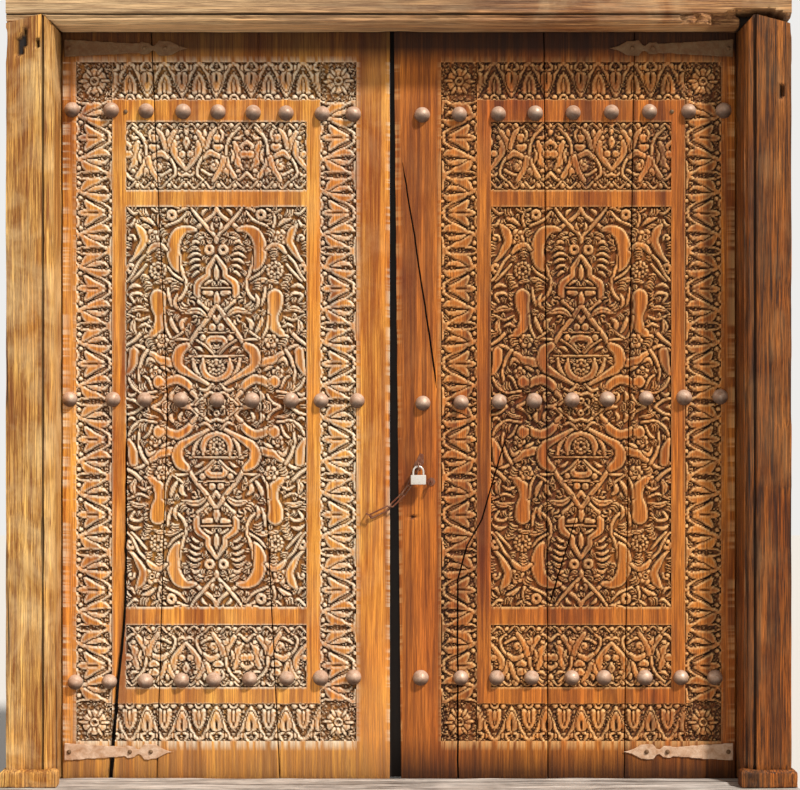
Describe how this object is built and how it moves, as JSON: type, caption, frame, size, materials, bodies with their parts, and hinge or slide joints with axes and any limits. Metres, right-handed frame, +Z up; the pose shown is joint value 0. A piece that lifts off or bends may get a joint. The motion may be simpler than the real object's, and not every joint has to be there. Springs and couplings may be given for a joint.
{
  "type": "carved double door in its frame",
  "caption": "Double-leaf door of carved planks with rows of domed nails, forged straps, a chain and a padlock, turning on wooden pivots in a heavy timber frame.",
  "frame": {"origin": "middle of the sill's underside, on the surface it stands on", "axes": "+Z up, +Y through the doorway into the building, X across it; the carved face looks along -Y"},
  "size_m": [2.154, 0.29, 2.305],
  "materials": {
    "leaf_wood": "weathered oil-darkened hardwood",
    "frame_wood": "weathered, grained",
    "batten_wood": "sawn, unfinished",
    "sill_wood": "bleached and worn",
    "boss_iron": "hammered, worn",
    "strap_iron": "forged, dusty",
    "rusty_iron": "rusted",
    "padlock_steel": "satin",
    "plug_brass": "dull"
  },
  "bodies": {
    "frame": {"sill": "sill_wood", "lintel": "frame_wood", "jamb_left": "frame_wood", "jamb_right": "frame_wood", "plinth_block_left": "frame_wood", "plinth_block_right": "frame_wood"},
    "left_leaf": {"left_batten_foot": "batten_wood", "left_batten_head": "batten_wood", "left_batten_middle": "batten_wood", "left_bosses": "boss_iron", "left_hinge_plank": "leaf_wood", "left_meeting_plank": "leaf_wood", "left_middle_plank": "leaf_wood", "left_strap_foot": "strap_iron", "left_strap_nails": "strap_iron", "left_strap_top": "strap_iron", "chain_staple": "rusty_iron"},
    "right_leaf": {"right_batten_foot": "batten_wood", "right_batten_head": "batten_wood", "right_batten_middle": "batten_wood", "right_bosses": "boss_iron", "right_hinge_plank": "leaf_wood", "right_meeting_plank": "leaf_wood", "right_middle_plank": "leaf_wood", "right_strap_foot": "strap_iron", "right_strap_nails": "strap_iron", "right_strap_top": "strap_iron", "lock_plate": "rusty_iron", "lock_eye": "rusty_iron", "old_rose": "rusty_iron", "old_eye": "rusty_iron"},
    "first_link": {"chain_link_1": "rusty_iron"},
    "second_link": {"chain_link_2": "rusty_iron"},
    "third_link": {"chain_link_3": "rusty_iron"},
    "last_link": {"chain_link_4": "rusty_iron"},
    "padlock_bow": {"padlock_shackle": "padlock_steel"},
    "padlock_case": {"padlock_body": "padlock_steel"},
    "padlock_barrel": {"padlock_plug": "plug_brass"}
  },
  "joints": [
    {"name": "left_leaf_swing", "type": "hinge", "parent": "frame", "child": "left_leaf", "pos_m": [-0.944, 0.0465, 0.047], "axis": [0, 0, 1], "range_deg": [0, 90]},
    {"name": "right_leaf_swing", "type": "hinge", "parent": "frame", "child": "right_leaf", "pos_m": [0.944, 0.0465, 0.047], "axis": [0, 0, -1], "range_deg": [0, 90]},
    {"name": "first_link_drop", "type": "hinge", "parent": "left_leaf", "child": "first_link", "pos_m": [-0.0748, 0, 0.8186], "axis": [0, 1, 0], "range_deg": [0, 115]},
    {"name": "last_link_drop", "type": "hinge", "parent": "right_leaf", "child": "last_link", "pos_m": [0.054, 0, 0.959], "axis": [0, -1, 0], "range_deg": [0, 10]},
    {"name": "third_link_drop", "type": "hinge", "parent": "last_link", "child": "third_link", "pos_m": [0.0294, -0.002, 0.9023], "axis": [0, -1, 0], "range_deg": [0, 5.2]},
    {"name": "second_link_drop", "type": "hinge", "parent": "third_link", "child": "second_link", "pos_m": [0.012, -0.0025, 0.878], "axis": [0, -1, 0], "range_deg": [0, 4.05]},
    {"name": "padlock_swing", "type": "hinge", "parent": "right_leaf", "child": "padlock_bow", "pos_m": [0.054, -0.019, 0.95675], "axis": [0, 1, 0], "range_deg": [-6, 6]},
    {"name": "padlock_release", "type": "slide", "parent": "padlock_bow", "child": "padlock_case", "axis": [0, 0, -1], "range_m": [0, 0.01]},
    {"name": "padlock_key_turn", "type": "hinge", "parent": "padlock_case", "child": "padlock_barrel", "pos_m": [0.054, -0.019, 0.906], "axis": [0, 0, 1], "range_deg": [0, 90]}
  ],
  "couplings": [
    {"joint": "third_link_drop", "follows": "last_link_drop", "ratio": 0.515},
    {"joint": "second_link_drop", "follows": "last_link_drop", "ratio": 0.4}
  ]
}
